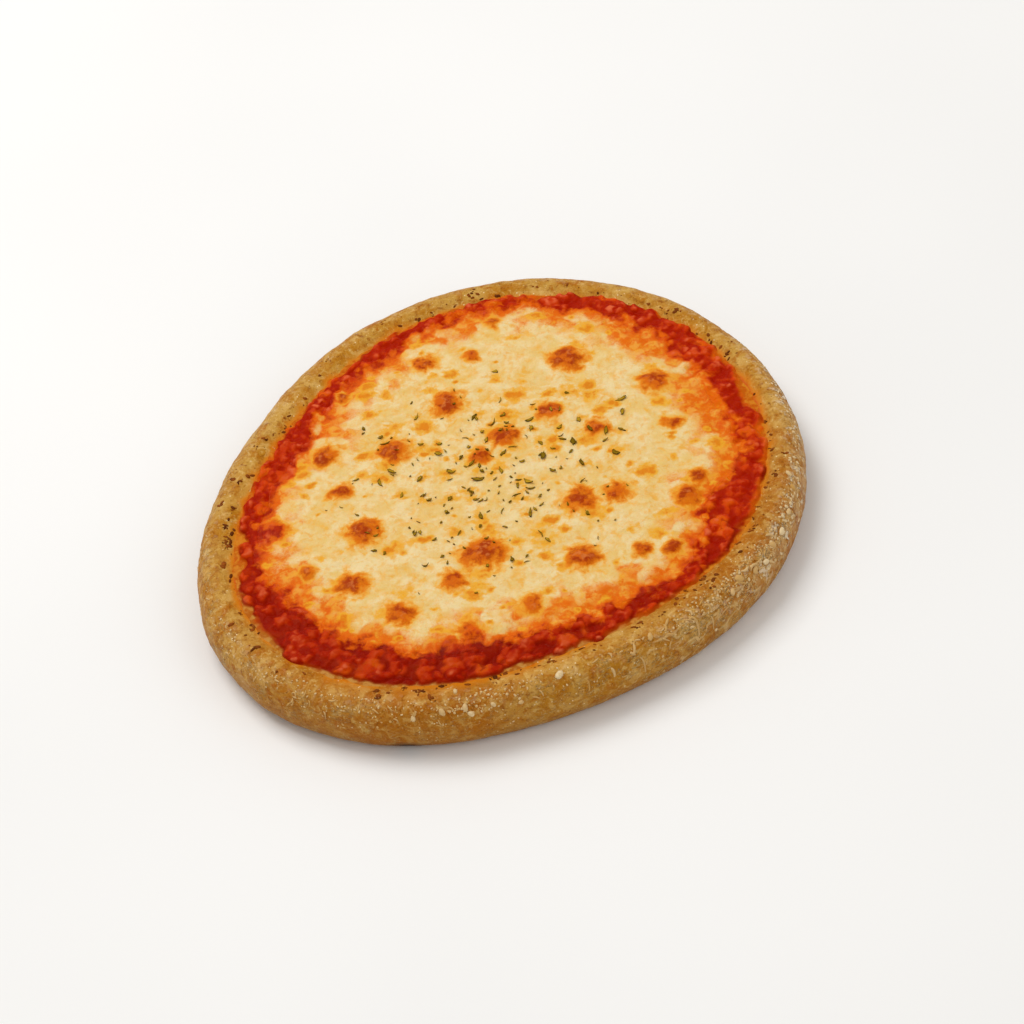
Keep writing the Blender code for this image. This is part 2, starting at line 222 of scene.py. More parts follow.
# Herb flakes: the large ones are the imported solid's, and small ones lie between them.
# Both have their count, spacing, middle and spread.
LARGE_HERBS = (64, 2.6 * MM, Vector((1.5 * MM, 3.5 * MM, 0)), (15 * MM, 12 * MM))
SMALL_HERBS = (140, 1.2 * MM, Vector((-4 * MM, -3 * MM, 0)), (17 * MM, 15 * MM))
HERB_SEED = 11
HERB_SPREAD_TURN = math.radians(20)
HERB_REACH = 36 * MM
HERB_LENGTHS = (1.5 * MM, 3.0 * MM)
HERB_TILT = math.radians(14)
SMALL_HERB_LENGTHS = (0.6 * MM, 1.8 * MM)
LEAF_SIDES = 12
LEAF_LIFT = 0.12 * MM
LEAF_HALF_THICKNESS = 0.08 * MM
LEAF_KINDS = (
    # least and most breadth, most bend and size, each as a share of the length
    (0.13, 0.25, 0.35, 0.88), (0.13, 0.25, 0.35, 0.88), (0.06, 0.1, 1.0, 0.85),
    (0.24, 0.38, 0.3, 0.6),
)
# The flake's outline and an inner ring, below and then above: scale, nearness to the edge, side
LEAF_RINGS = ((0.68, 0.1, -1), (1.0, 1.0, -1), (1.0, 1.0, 1), (0.68, 0.1, 1))

# Coarse grains on the rim: direction in degrees, share of the rim's width, length in mm
GRAINS = (
    (249, 0.10, 1.5), (254, 0.14, 2.0), (258, 0.16, 1.8), (259, 0.07, 1.7), (263, 0.15, 1.4),
    (256, 0.55, 1.4), (268, 0.10, 1.3), (276, 0.32, 2.2), (296, 0.30, 1.9), (316, 0.16, 1.8),
    (319, 0.24, 2.4), (323, 0.14, 2.0), (326, 0.09, 1.9), (330, 0.16, 2.1), (334, 0.14, 2.3),
    (339, 0.17, 1.8), (345, 0.22, 2.0), (348, 0.36, 1.8),
)
GRAIN_BREADTH = 0.7
GRAIN_THICKNESS = 0.45
GRAIN_SEED = 4

# Crumbs, flour lumps and chains of crumbs; the chains are partly painted glints along the crest.
# Patches have a direction and a spread in degrees, and shares of the rim's width a middle, a
# spread and the most.
CRUMB_COUNT = 320
CRUMB_PATCHES = ((250, 26), (300, 26), (332, 16), (345, 16), (205, 22))
CRUMB_SHARES = (0.19, 0.13, 0.75)
CRUMB_HALVES = (0.14 * MM, 0.42 * MM)
FLOUR_LUMP_COUNT = 150
FLOUR_PATCHES = ((334, 12), (346, 12), (2, 14))
FLOUR_SHARES = (0.17, 0.1, 0.6)
FLOUR_HALVES = (0.2 * MM, 0.65 * MM)
CRUMB_AND_GLINT_CHAIN_COUNT = 40
CHAIN_DIRECTIONS = (228, 236, 252, 262, 300, 312, 322, 334, 210)
CHAIN_SHARES = (0.08, 0.45)
CHAIN_HALVES = (0.16 * MM, 0.44 * MM)

# Pale wrinkles of dried skin, and larger curls of it
SQUIGGLE_COUNT = 90
SQUIGGLE_PATCHES = ((312, 14), (312, 14), (326, 10), (232, 12), (205, 20), (270, 24))
SQUIGGLE_SHARES = (0.16, 0.12, 0.7)
SQUIGGLE_LENGTHS = (0.8 * MM, 2.2 * MM)
SQUIGGLE_TURNS = (0.05, 0.15, 0.4)
SQUIGGLE_HALF_WIDTH = 0.21 * MM
SQUIGGLE_STEPS = 9
SQUIGGLE_SIDES = 5
SQUIGGLE_SEED = 15
CURL_COUNT = 16
CURL_PATCH = (304, 12)
CURL_SHARES = (0.08, 0.36)
CURL_TURNS = (0.3, 0.5)
CURL_SIZE = 1.6

# Dark specks beside the sauce
SPECK_COUNT = 180
SPECK_SEED = 8
SPECK_PATCHES = (
    (190, 15), (190, 15), (150, 16), (320, 14), (345, 16), (90, 30), (258, 20), (268, 26),
    (50, 24),
)
SPECK_HALVES = (0.2 * MM, 0.25 * MM, 0.35 * MM, 0.5 * MM, 0.7 * MM)
SPECK_SWELLS = ((198, 22, 0.4), (268, 40, 0.4))
SPECK_HALF_THICKNESS = 0.12 * MM

# How much finer the dough's streaks are across the rim than along it
FLOW_STRETCH = 2.5

# How finely the skins are divided
CRUST_STEPS = 860
TUCK_STEPS = 20
SHOULDER_STEPS = 56
INNER_STEPS = 30
SAUCE_STEPS = 1100
SAUCE_RINGS = 66
CHEESE_RINGS = 180

# Tints of the gloss, and the set: each lamp's name, place and size in metres, and watts
WHITE = (1, 1, 1, 1)
WARM_GLOSS = (1.0, 0.75, 0.42, 1)
OILY_GLOSS = (1.0, 0.5, 0.25, 1)
FLOOR_HALF_WIDTH = 20.0
SKY_COLOUR = (1, 0.985, 0.96, 1)
SKY_STRENGTH = 0.55
LAMPS = (("key", (-0.35, 0.35, 0.95), 0.6, 6.5), ("fill", (0.6, -0.5, 0.7), 0.8, 1.6))


def ease(value):
    """Eases from 0 to 1 while value goes from 0 to 1."""
    value = np.clip(value, 0, 1)
    return value * value * (3 - 2 * value)


def swells(angle, table):
    """The sum of the swells of a table."""
    return sum(height * np.cos(count * (angle - math.radians(at))) for count, height, at in table)


def outer_radius(angle):
    """The dough's widest line, seen from above."""
    return DOUGH_RADIUS + swells(angle, OUTLINE_SWELLS)


def rim_width(angle):
    return RIM_WIDTH + swells(angle, RIM_SWELLS)


def hump(angle, degrees, half_width):
    """A smooth hump about a direction, 1 at its middle."""
    away = (angle - math.radians(degrees) + math.pi) % TURN - math.pi
    return np.exp(-((away / math.radians(half_width)) ** 2))


def humps(angle, table):
    """The sum of humps, each with its direction, half width and height."""
    return sum(height * hump(angle, direction, width) for direction, width, height in table)


def noise_at(points, size, seed=0):
    """Smooth noise at each of an array of points, from about -1 to 1."""
    shift = Vector((seed * 5.1, seed * 8.3, seed * 2.7))
    return np.array([noise.noise(Vector(p) / size + shift) for p in points.tolist()])


def waves(points, *layers):
    """The sum of layers of noise, each with its height and size in millimetres and its seed."""
    return sum(height * MM * noise_at(points, size * MM, seed) for height, size, seed in layers)


def away_from(points, x, y, reach):
    """How far each point is from a place on the plan, as a share of reach."""
    return np.hypot(points[:, 0] - x, points[:, 1] - y) / reach


def lumps_at(points, size):
    """Soft packed lumps: their relief, the cracks between them and a tone for each lump."""
    bend = np.stack([noise_at(points, LUMP_BEND_SIZE * size, seed) for seed in (41, 42)], axis=-1)
    relief, crack, tone = [], [], []
    for x, y in (points[:, :2] / size + LUMP_BEND * bend).tolist():
        distances, middles = noise.voronoi(Vector((x, y, 0)))
        weights = [math.exp(-LUMP_CRISPNESS * distance) for distance in distances]
        nearest = -math.log(sum(weights)) / LUMP_CRISPNESS
        relief.append(1 - min(max(nearest, 0) / LUMP_REACH, 1) ** 2)
        crack.append(distances[1] - distances[0])
        shades = [weight * noise.cell(middle * 9) for weight, middle in zip(weights, middles)]
        tone.append(sum(shades) / sum(weights))
    return np.array(relief), 1 - ease(np.array(crack) / CRACK_WIDTH), np.array(tone)


def cheese_margin(angle):
    """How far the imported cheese's edge stays inside the sauce's."""
    on_edge = np.stack((np.cos(angle), np.sin(angle), 0 * angle), axis=-1) * DOUGH_RADIUS
    return CHEESE_MARGIN + humps(angle, SAUCE_POOLS) + LOBE_DEPTH * noise_at(on_edge, LOBE_SIZE)


def outline_middle():
    """The middle of the widest line's box, which the part's origin lies under."""
    angles = np.arange(OUTLINE_STEPS) * TURN / OUTLINE_STEPS
    xs = outer_radius(angles) * np.cos(angles)
    ys = outer_radius(angles) * np.sin(angles)
    return np.array(((xs.min() + xs.max()) / 2, (ys.min() + ys.max()) / 2, 0))


MIDDLE = outline_middle()


def plan_points(angle, radius, height):
    """Points from directions, radii and heights of any matching shapes."""
    xs = radius * np.cos(angle)
    ys = radius * np.sin(angle)
    return np.stack(np.broadcast_arrays(xs, ys, height), axis=-1) - MIDDLE


def sauce_edge_radius(angle):
    return outer_radius(angle) - rim_width(angle) - LAYER_GAP


def mesh_object(name, vertices, faces, attributes):
    """A smooth mesh object with a number for each vertex under each attribute's name."""
    mesh = bpy.data.meshes.new(name)
    mesh.from_pydata(vertices.tolist(), [], faces)
    for key, values in attributes.items():
        kind, field = ("FLOAT", "value") if values.ndim == 1 else ("FLOAT_VECTOR", "vector")
        mesh.attributes.new(key, kind, "POINT").data.foreach_set(field, values.ravel())
    mesh.shade_smooth()
    made = bpy.data.objects.new(name, mesh)
    bpy.context.scene.collection.objects.link(made)
    return made


def capped_faces(sides, rings):
    """Faces of a closed stack of rings between a first and a last point."""
    faces = []
    last = 1 + sides * rings
    top = last - sides
    for i in range(sides):
        j = (i + 1) % sides
        faces.append((0, 1 + j, 1 + i))
        for low in range(1, top, sides):
            high = low + sides
            faces.append((low + i, low + j, high + j, high + i))
        faces.append((top + i, top + j, last))
    return faces


def ringed_object(name, rows, attributes):
    """A closed skin through rings of points, with a fan at each end."""
    rings, count = rows.shape[:2]
    vertices = np.concatenate((rows[:1].mean(axis=1), rows.reshape(-1, 3), rows[-1:].mean(axis=1)))
    for key, values in attributes.items():
        flat = values.reshape(rings * count, *values.shape[2:])
        attributes[key] = np.concatenate((flat[:1], flat, flat[-1:]))
    return mesh_object(name, vertices, capped_faces(count, rings), attributes)


def rim_section():
    """The rim's section from the foot outwards, up and in to the sauce.

    The columns are the share of the rim's width from the widest line, the height, the outward
    and upward parts of the skin's direction, and how much of the relief shows.
    """
    section = []
    for step in range(TUCK_STEPS):
        turn = math.pi / 2 * (1 - step / TUCK_STEPS)
        share = TUCK_SHARE * (1 - math.cos(turn))
        height = WAIST_HEIGHT * (1 - math.sin(turn))
        section.append((share, height, math.cos(turn), -math.sin(turn), step / TUCK_STEPS))
    power = 2 / SHOULDER_ROUNDNESS
    for step in range(SHOULDER_STEPS + 1):
        turn = math.pi / 2 * step / SHOULDER_STEPS
        across, up = math.cos(turn) ** power, math.sin(turn) ** power
        height = WAIST_HEIGHT + (RIM_HEIGHT - WAIST_HEIGHT) * up
        section.append((CREST_SHARE * (1 - across), height, math.cos(turn), math.sin(turn), 1))
    for step in range(1, INNER_STEPS + 1):
        share = step / INNER_STEPS
        height = RIM_HEIGHT + (SAUCE_EDGE_HEIGHT - RIM_HEIGHT) * float(ease(share))
        inset = CREST_SHARE + (1 - CREST_SHARE) * share
        section.append((inset, height, 0, 1, 1 - share))
    return np.array(section)


def dough_relief(points):
    """How far the dough's skin swells or dips at each point."""
    puffs = PUFF_HEIGHT * noise_at(points, PUFF_SIZE)
    return puffs + DIMPLE_HEIGHT * noise_at(points, DIMPLE_SIZE)


def wrinkles(angle, share, points):
    """Fine ridges that run along the rim, 1 on a ridge."""
    along = angle * DOUGH_RADIUS / WRINKLE_LENGTH
    bent = WRINKLE_BEND * noise_at(points, WRINKLE_BEND_SIZE, 3)
    across = share * RIM_WIDTH / WRINKLE_GAP + points[:, 2] / WRINKLE_RISE + bent
    lines = np.stack((along, across, 0 * along), axis=-1)
    return ease(1 - np.abs(noise_at(lines, 1.0, 5)) * WRINKLE_SHARPNESS)


def crust_fields(angle, inset, level, points):
    """Where the dough is oily, floured, browned or burnt, each from 0 to 1."""
    sauce_side = (1 - inset) * RIM_WIDTH
    oily = OIL_REACH + humps(angle, OIL_SWELLS) + waves(points, (0.8, 3.5, 4))
    oil = np.exp(-sauce_side / np.maximum(oily, OIL_LEAST_REACH))
    oil *= 1 - 0.85 * np.maximum(hump(angle, *DRY_FLANK), 0.8 * hump(angle, *DRY_FRONT))
    below = hump(angle, *GLAZED_FRONT)
    glaze = np.exp(-sauce_side / (GLAZE_REACH + GLAZE_SWELL * below))
    oil += (0.35 + 0.2 * below) * glaze * ease(2 * noise_at(points, 6 * MM, 6) + 0.2 + 0.5 * below)
    upper = ease((level - FLOUR_FOOT) / FLOUR_RISE)
    flour = hump(angle, *FLOUR_PATCH) * ease(1.05 - 2.0 * inset) * upper
    flour += hump(angle, *FLOUR_TAIL) * ease(1.0 - 1.7 * inset) * (0.3 + 0.7 * upper)
    flour += 0.15 * ease(1 - np.abs(inset - 0.35) * 3)
    baked = humps(angle, BAKED)
    baked += (0.6 + 0.5 * ease(3 * inset - 0.5)) * hump(angle, *BROWN_PATCH)
    gold = ease(0.45 + 1.5 * noise_at(points, 9 * MM, 7)) * (0.4 + humps(angle, GOLDEN))
    burnt = hump(angle, *BURNT_SPOT) * ease(1 - np.abs(level - BURNT_HEIGHT) / BURNT_REACH)
    return {"oil": oil, "flour": flour, "gold": gold, "baked": baked, "burnt": burnt}


def make_crust():
    """The skin of the dough."""
    share, height, outward, upward, shown = (column[:, None] for column in rim_section().T)
    angles = np.arange(CRUST_STEPS)[None, :] * TURN / CRUST_STEPS
    radius = outer_radius(angles) - share * rim_width(angles)
    points = plan_points(angles, radius, height).reshape(-1, 3)
    columns = (angles, share, height, upward, shown)
    spread = [np.broadcast_to(values, radius.shape).reshape(-1) for values in columns]
    angle, inset, level, top, seen = spread
    creased = CREASED_LEAST + humps(angle, CREASED)
    creased = np.clip(creased * ease(1.2 - 2.0 * inset), 0, 1)
    crease = wrinkles(angle, inset, points) * creased
    relief = dough_relief(points) + waves(points, *SKIN_WAVES) + WRINKLE_HEIGHT * crease
    relief = (relief * seen).reshape(radius.shape)
    skin = plan_points(angles, radius + relief * outward, height + relief * upward)
    floor_radius = outer_radius(angles) - rim_width(angles) - HOLLOW_WALL_RUN
    skin = np.concatenate((skin, plan_points(angles, floor_radius, HOLLOW_FLOOR)))

    fields = crust_fields(angle, inset, level, points)
    fields["creased"] = creased
    fields["crease"] = crease
    # Painted shade: the foot of the wall is darkened toward the floor.
    fields["wall"] = ease(1 - level / WALL_SHADE_HEIGHT) * (top < 0.95)
    fields = {key: np.clip(values, 0, 1) for key, values in fields.items()}
    across = FLOW_STRETCH * (inset * RIM_WIDTH + level)
    around = [part(angle) * DOUGH_RADIUS for part in (np.cos, np.sin)]
    fields["flow"] = np.stack((*around, across), axis=-1)
    for key, values in fields.items():
        grid = values.reshape(*radius.shape, *values.shape[1:])
        fields[key] = np.concatenate((grid, grid[-1:]))
    crust = ringed_object("crust_skin", skin, fields)
    crust.data.materials.append(crust_material())
    return crust


def cheese_reach(angle):
    """The radius of the cheese's thin edge, which runs out a little over the sauce."""
    reach = sauce_edge_radius(angle) - cheese_margin(angle) + CHEESE_OVERLAP
    return reach + waves(plan_points(angle, reach, 0 * angle), *CHEESE_EDGE_WAVES)


def spill_at(angle, from_rim, points, lump, bit):
    """How far each point is inside the torn edge that the sauce has on the rim."""
    spill = from_rim + SPILL_REACH + humps(angle, SPILL_SWELLS) + waves(points, *SPILL_WAVES)
    return spill + SPILL_LUMPS * (lump - 0.5) + SPILL_BITS * (bit - 0.5)


def topping(angle, radius):
    """The open top of the sauce and the cheese, which run into each other.

    Takes flat arrays of directions and radii, and gives the points and their colour fields.
    """
    points = plan_points(angle, radius, 0 * angle)
    from_rim = sauce_edge_radius(angle) - radius
    inside = from_rim - cheese_margin(angle)
    lump, crack, tone = lumps_at(points, PULP_SIZE)
    bit = lumps_at(points + BIT_SHIFT, BIT_SIZE)[0]
    own = 2 * tone - 1
    bend = [noise_at(points, BLISTER_BEND_SIZE, seed) for seed in (51, 52, 53)]
    bent = points + BLISTER_BEND * np.stack(bend, axis=-1)
    char, domes = browning(bent)
    shreds = shred_relief(points)

    sauce_top = SAUCE_LIP_HEIGHT - PULP_HEIGHT / 2 + BIT_HEIGHT * bit + waves(points, (0.1, 1.3, 2))
    share = ease(inside / CHEESE_EDGE_RUN)
    thickness = CHEESE_EDGE_THICKNESS + (CHEESE_THICKNESS - CHEESE_EDGE_THICKNESS) * share
    cheese_top = SAUCE_BED_HEIGHT + LAYER_GAP + thickness + domes + waves(points, *CHEESE_WAVES)
    cheese_top += SHRED_HEIGHT * shreds * (1 - 0.6 * char)
    cheese_top += ease(char * 2 - 0.5) * waves(points, (0.1, 1.8, 21))
    over = ease((inside + BLEND_START) / BLEND_RUN)
    top = sauce_top + (cheese_top - sauce_top) * over + PULP_HEIGHT * lump * (1 - 0.8 * over)
    film = FILM_THICKNESS + waves(points, (0.16, 3, 64))
    sink = ease((from_rim - SINK_START) / SINK_RUN)
    low = SAUCE_EDGE_HEIGHT + film + (SAUCE_BED_HEIGHT - SAUCE_EDGE_HEIGHT) * sink
    spill = spill_at(angle, from_rim, points, lump, bit)
    points[:, 2] = low + (top - low) * ease(spill / SAUCE_LIP_WIDTH)

    rind_width = RIND_WIDTH + humps(angle, RIND_SWELLS) + waves(points, (0.3, 5, 63))
    wild = inside - WILD_REACH - MM * own + humps(angle, WILD_SWELLS) + waves(points, *WILD_WAVES)
    for x, y, reach in RED_PATCHES:
        wild -= RED_PATCH_DEPTH * np.exp(-(away_from(bent, x * MM, y * MM, reach * MM) ** 2))
    near = inside - NEAR_REACH - NEAR_OWN * own - waves(points, (5, 7, 18))
    fields = {
        "lump": lump,
        "bit": bit,
        "crack": crack,
        "tone": tone,
        "red": np.clip(0.5 - wild / RED_RUN, 0, 1),
        "warm": np.clip(1 - near / WARM_RUN, 0, 1),
        "char": char,
        "fleck": orange_flecks(bent),
        "shred": np.clip(shreds * 0.5 + 0.5, 0, 1),
        "rind": np.exp(-np.maximum(spill - RIND_START, 0) / rind_width),
        "bare": 1 - ease((spill + BARE_START) / BARE_RUN),
        "front": hump(angle, *DARK_FRONT),
    }
    return points, fields


def make_sauce():
    """The tomato sauce, from under the rim's lip to well under the cheese."""
    angles = np.arange(SAUCE_STEPS) * TURN / SAUCE_STEPS
    edge = sauce_edge_radius(angles) + SAUCE_SPILL
    reach = cheese_reach(angles)
    share = np.linspace(0, 1, SAUCE_RINGS)[:, None]
    radius = edge + (reach - SAUCE_UNDER_CHEESE - edge) * share
    flat = np.broadcast_to(angles, radius.shape).reshape(-1)
    points, fields = topping(flat, radius.reshape(-1))
    covered = (reach - radius).reshape(-1)
    points[:, 2] -= SAUCE_DIP * ease((covered - SAUCE_DIP_START) / SAUCE_DIP_RUN)
    under = plan_points(angles, sauce_edge_radius(angles) - HOLLOW_WALL_RUN, HOLLOW_FLOOR + LAYER_GAP)
    rows = np.concatenate((under[None], points.reshape(*radius.shape, 3)))
    for key, values in fields.items():
        grid = values.reshape(radius.shape)
        fields[key] = np.concatenate((grid[:1], grid))
    sauce = ringed_object("tomato_sauce", rows, fields)
    sauce.data.materials.append(sauce_material())
    return sauce


def fleck_places():
    """Seeded places, widths and strengths of the small orange flecks."""
    rng = random.Random(FLECK_SEED)
    flecks = []
    while len(flecks) < FLECK_COUNT:
        angle = rng.uniform(0, TURN)
        reach = math.sqrt(rng.uniform(0.02, 1))
        radius = reach * 0.97 * (float(sauce_edge_radius(angle)) - CHEESE_MARGIN)
        x, y, _ = plan_points(angle, radius, 0)
        width = FLECK_WIDTHS[0] + (FLECK_WIDTHS[1] - FLECK_WIDTHS[0]) * rng.random() ** 1.6
        flecks.append((x, y, width, rng.uniform(*FLECK_STRENGTHS)))
    herbs = herb_places(random.Random(HERB_SEED), *LARGE_HERBS)
    for herb in rng.sample(herbs, STAIN_COUNT):
        x, y = herb.x + rng.uniform(-1, 1) * MM, herb.y + rng.uniform(-1, 1) * MM
        flecks.append((x, y, rng.uniform(*STAIN_WIDTHS), rng.uniform(*STAIN_STRENGTHS)))
    return flecks


def browning(points):
    """How browned the blisters are, fading outwards through their halos, and the domes' relief."""
    char, relief = np.zeros(len(points)), np.zeros(len(points))
    for x, y, width, dark in BLISTERS:
        away = away_from(points, x * MM, y * MM, width * MM / 2)
        char = np.maximum(char, (0.6 + 0.4 * dark) * (1 - ease(away / HALO_SHARE)))
        dome = np.clip(1 - (away / DOME_SHARE) ** 2, 0, 1) ** 2
        relief = np.maximum(relief, BLISTER_HEIGHT * dark * dome)
    return char, relief


def orange_flecks(points):
    """How strongly the small flecks colour each point."""
    fleck = np.zeros(len(points))
    for x, y, width, strength in fleck_places():
        away = np.hypot((points[:, 0] - x) * FLECK_SQUASH, points[:, 1] - y) / (width / 2)
        fleck = np.maximum(fleck, strength * np.clip(1 - away / FLECK_HALO, 0, 1))
    return fleck


def shred_relief(points):
    """Half-melted shreds: long soft ridges that cross each other, from about -1 to 1."""
    warp = [noise_at(points, SHRED_WARP_SIZE, seed) for seed in (11, 12)]
    total = np.zeros(len(points))
    for seed, degrees in ((13, 25), (14, 80), (15, 140)):
        turn = math.radians(degrees)
        along = points[:, 0] * math.cos(turn) + points[:, 1] * math.sin(turn)
        across = points[:, 1] * math.cos(turn) - points[:, 0] * math.sin(turn)
        along = along / SHRED_LENGTH + warp[0]
        across = across / SHRED_WIDTH + 1.2 * warp[1]
        lines = np.stack((along, across, 0 * along), axis=-1)
        patch = ease(0.5 + 1.6 * noise_at(points, SHRED_PATCH_SIZE, seed + 10))
        total += patch * noise_at(lines, 1.0, seed)
    return total


def cheese_plan():
    """Directions, radii and distances from the edge of even rings of 6, 12, 18 points."""
    angles, share = [np.zeros(1)], [np.zeros(1)]
    for ring in range(1, CHEESE_RINGS + 1):
        angles.append(np.arange(6 * ring) * TURN / (6 * ring))
        share.append(np.full(6 * ring, ring / CHEESE_RINGS))
    angle, share = np.concatenate(angles), np.concatenate(share)
    reach = cheese_reach(angle)
    return angle, share * reach, (1 - share) * reach


def hex_faces():
    """Triangles between the cheese's rings."""
    faces = []
    before, start = 0, 1
    for ring in range(1, CHEESE_RINGS + 1):
        count, before_count = 6 * ring, max(6 * (ring - 1), 1)
        for k in range(count):
            sector, step = divmod(k, ring)
            a, b = start + k, start + (k + 1) % count
            c = before + (k - sector) % before_count
            faces.append((a, b, c))
            if step < ring - 1:
                faces.append((b, before + (k - sector + 1) % before_count, c))
        before, start = start, start + count
    return faces


def make_cheese():
    """The melted cheese, with its blisters and shreds."""
    angle, radius, from_edge = cheese_plan()
    points, fields = topping(angle, radius)
    points[:, 2] += CHEESE_LIFT - CHEESE_EDGE_DROP * (1 - ease(from_edge / CHEESE_EDGE_DROP))
    count = 6 * CHEESE_RINGS
    under = points[-count:] - (0, 0, CHEESE_EDGE_DEPTH)
    hub = points[:1].copy()
    hub[:, 2] = SAUCE_BED_HEIGHT
    base = len(points)
    faces = hex_faces()
    for i in range(count):
        j = (i + 1) % count
        faces.append((base - count + i, base + i, base + j, base - count + j))
        faces.append((base + i, base + count, base + j))
    for key, values in fields.items():
        fields[key] = np.concatenate((values, values[-count:], values[:1]))
    cheese = mesh_object("melted_cheese", np.concatenate((points, under, hub)), faces, fields)
    cheese.data.materials.append(cheese_material())
    return cheese


def skin_pose(piece, x, y):
    """A pose on a piece's upper skin over a plan point, with its Z axis off the skin."""
    above = Vector((x, y, 2 * RIM_HEIGHT))
    found, spot, slope, _ = piece.ray_cast(above, Vector((0, 0, -1)))
    if not found:
        return None
    return Matrix.Translation(spot) @ slope.to_track_quat("Z", "Y").to_matrix().to_4x4()


def rim_pose(crust, direction, share):
    """A pose on the dough at a direction in degrees and a share of the rim's width."""
    angle = math.radians(direction)
    radius = float(outer_radius(angle)) - share * float(rim_width(angle))
    x, y, _ = plan_points(angle, radius, 0)
    return skin_pose(crust, x, y)


def spin(rng):
    """A drawn turn about the skin's direction."""
    return Matrix.Rotation(rng.uniform(0, TURN), 4, "Z")


class Scatter:
    """Gathers many small shapes into one mesh."""

    def __init__(self):
        self.vertices = []
        self.faces = []
        self.tones = []
        self.rims = []

    def add(self, vertices, faces, tone, rims=None):
        start = len(self.vertices)
        self.vertices.extend(vertices)
        self.faces.extend(tuple(start + i for i in face) for face in faces)
        self.tones.extend([tone] * len(vertices))
        self.rims.extend(rims or [0.0] * len(vertices))

    def build(self, name, material):
        vertices = np.array([tuple(v) for v in self.vertices])
        attributes = {"tone": np.array(self.tones), "rim": np.array(self.rims)}
        made = mesh_object(name, vertices, self.faces, attributes)
        made.data.materials.append(material)
        return made


def leaf_flake(pose, length, rng):
    """One curled flake of dried leaf: points, faces and how near each point is to its edge.

    It is a leaf, a bent stalk or a short scrap.
    """
    slim, broad, bent, size = rng.choice(LEAF_KINDS)
    length *= size
    breadth = rng.uniform(slim, broad) * length
    bend = rng.uniform(-bent, bent)
    curl = rng.uniform(-0.2, 0.6)
    fold = rng.uniform(0.0, 0.8)
    radii = [rng.uniform(0.6, 1.35) for _ in range(LEAF_SIDES)]

    def lifted(x, y, side):
        z = curl * x * x / length + fold * abs(y) + LEAF_LIFT + side * LEAF_HALF_THICKNESS
        return pose @ Vector((x, y, z))

    points, rims = [lifted(0, 0, -1)], [0.0]
    for scale, rim, side in LEAF_RINGS:
        for i, radius in enumerate(radii):
            turn = TURN * i / LEAF_SIDES
            x = length / 2 * radius * scale * math.cos(turn)
            y = breadth * radius * scale * math.sin(turn) * abs(math.sin(turn)) ** 0.4
            points.append(lifted(x, y + bend * x * x / length, side))
            rims.append(rim)
    points.append(lifted(0, 0, 1))
    rims.append(0.0)
    return points, capped_faces(LEAF_SIDES, len(LEAF_RINGS)), rims


def herb_places(rng, count, spacing, centre, spread):
    """Seeded places of herb flakes, thinning out from the middle of their patch."""
    turn = Matrix.Rotation(HERB_SPREAD_TURN, 3, "Z")
    places = []
    while len(places) < count:
        strewn = Vector((rng.gauss(0, spread[0]), rng.gauss(0, spread[1]), 0))
        place = centre + turn @ strewn
        apart = all((place - other).length > spacing for other in places)
        if apart and strewn.length < HERB_REACH:
            places.append(place)
    return places


def make_herbs(cheese):
    """Dried herb flakes strewn over the cheese."""
    flakes = Scatter()
    rng = random.Random(HERB_SEED)
    sizes = random.Random(HERB_SEED)
    large = herb_places(rng, *LARGE_HERBS)
    small = herb_places(rng, *SMALL_HERBS)
    for places, lengths in ((large, HERB_LENGTHS), (small, SMALL_HERB_LENGTHS)):
        for place in places:
            pose = skin_pose(cheese, place.x, place.y)
            if pose is None:
                continue
            turned = pose @ spin(sizes)
            tilt = Matrix.Rotation(sizes.uniform(-HERB_TILT, HERB_TILT), 4, "Y")
            vertices, faces, rims = leaf_flake(turned @ tilt, sizes.uniform(*lengths), sizes)
            flakes.add(vertices, faces, sizes.random(), rims)
    return flakes.build("dried_herbs", herb_material())


def pebble(pose, half_sizes, rng, sides=7, levels=2):
    """A small irregular lump: points and faces."""
    length, breadth, thickness = half_sizes
    points = [pose @ Vector((0, 0, -thickness))]
    for level in range(1, levels + 1):
        tilt = math.pi * level / (levels + 1) - math.pi / 2
        for i in range(sides):
            turn = TURN * i / sides
            rough = rng.uniform(0.82, 1.12) * math.cos(tilt)
            x, y = length * rough * math.cos(turn), breadth * rough * math.sin(turn)
            points.append(pose @ Vector((x, y, thickness * math.sin(tilt))))
    points.append(pose @ Vector((0, 0, thickness)))
    return points, capped_faces(sides, levels)


def make_grains(crust):
    """Pale semolina grains and crumbs stuck on the rim; chains of the crumbs are partly painted glints.
    """
    grains = Scatter()
    rng = random.Random(GRAIN_SEED)
    for direction, share, length in GRAINS:
        pose = rim_pose(crust, direction, share) @ spin(rng)
        half = length * MM / 2
        sizes = (half, half * GRAIN_BREADTH, half * GRAIN_THICKNESS)
        grains.add(*pebble(pose, sizes, rng, sides=12, levels=5), rng.random())
    for direction, share, half, flatness, tone in crumb_places(rng):
        pose = rim_pose(crust, direction, share)
        if pose is None:
            continue
        pose = pose @ spin(rng)
        sizes = (half, half * rng.uniform(0.45, 0.9), half * flatness)
        grains.add(*pebble(pose, sizes, rng), tone)
    add_squiggles(grains, crust)
    return grains.build("semolina_grains", grain_material())


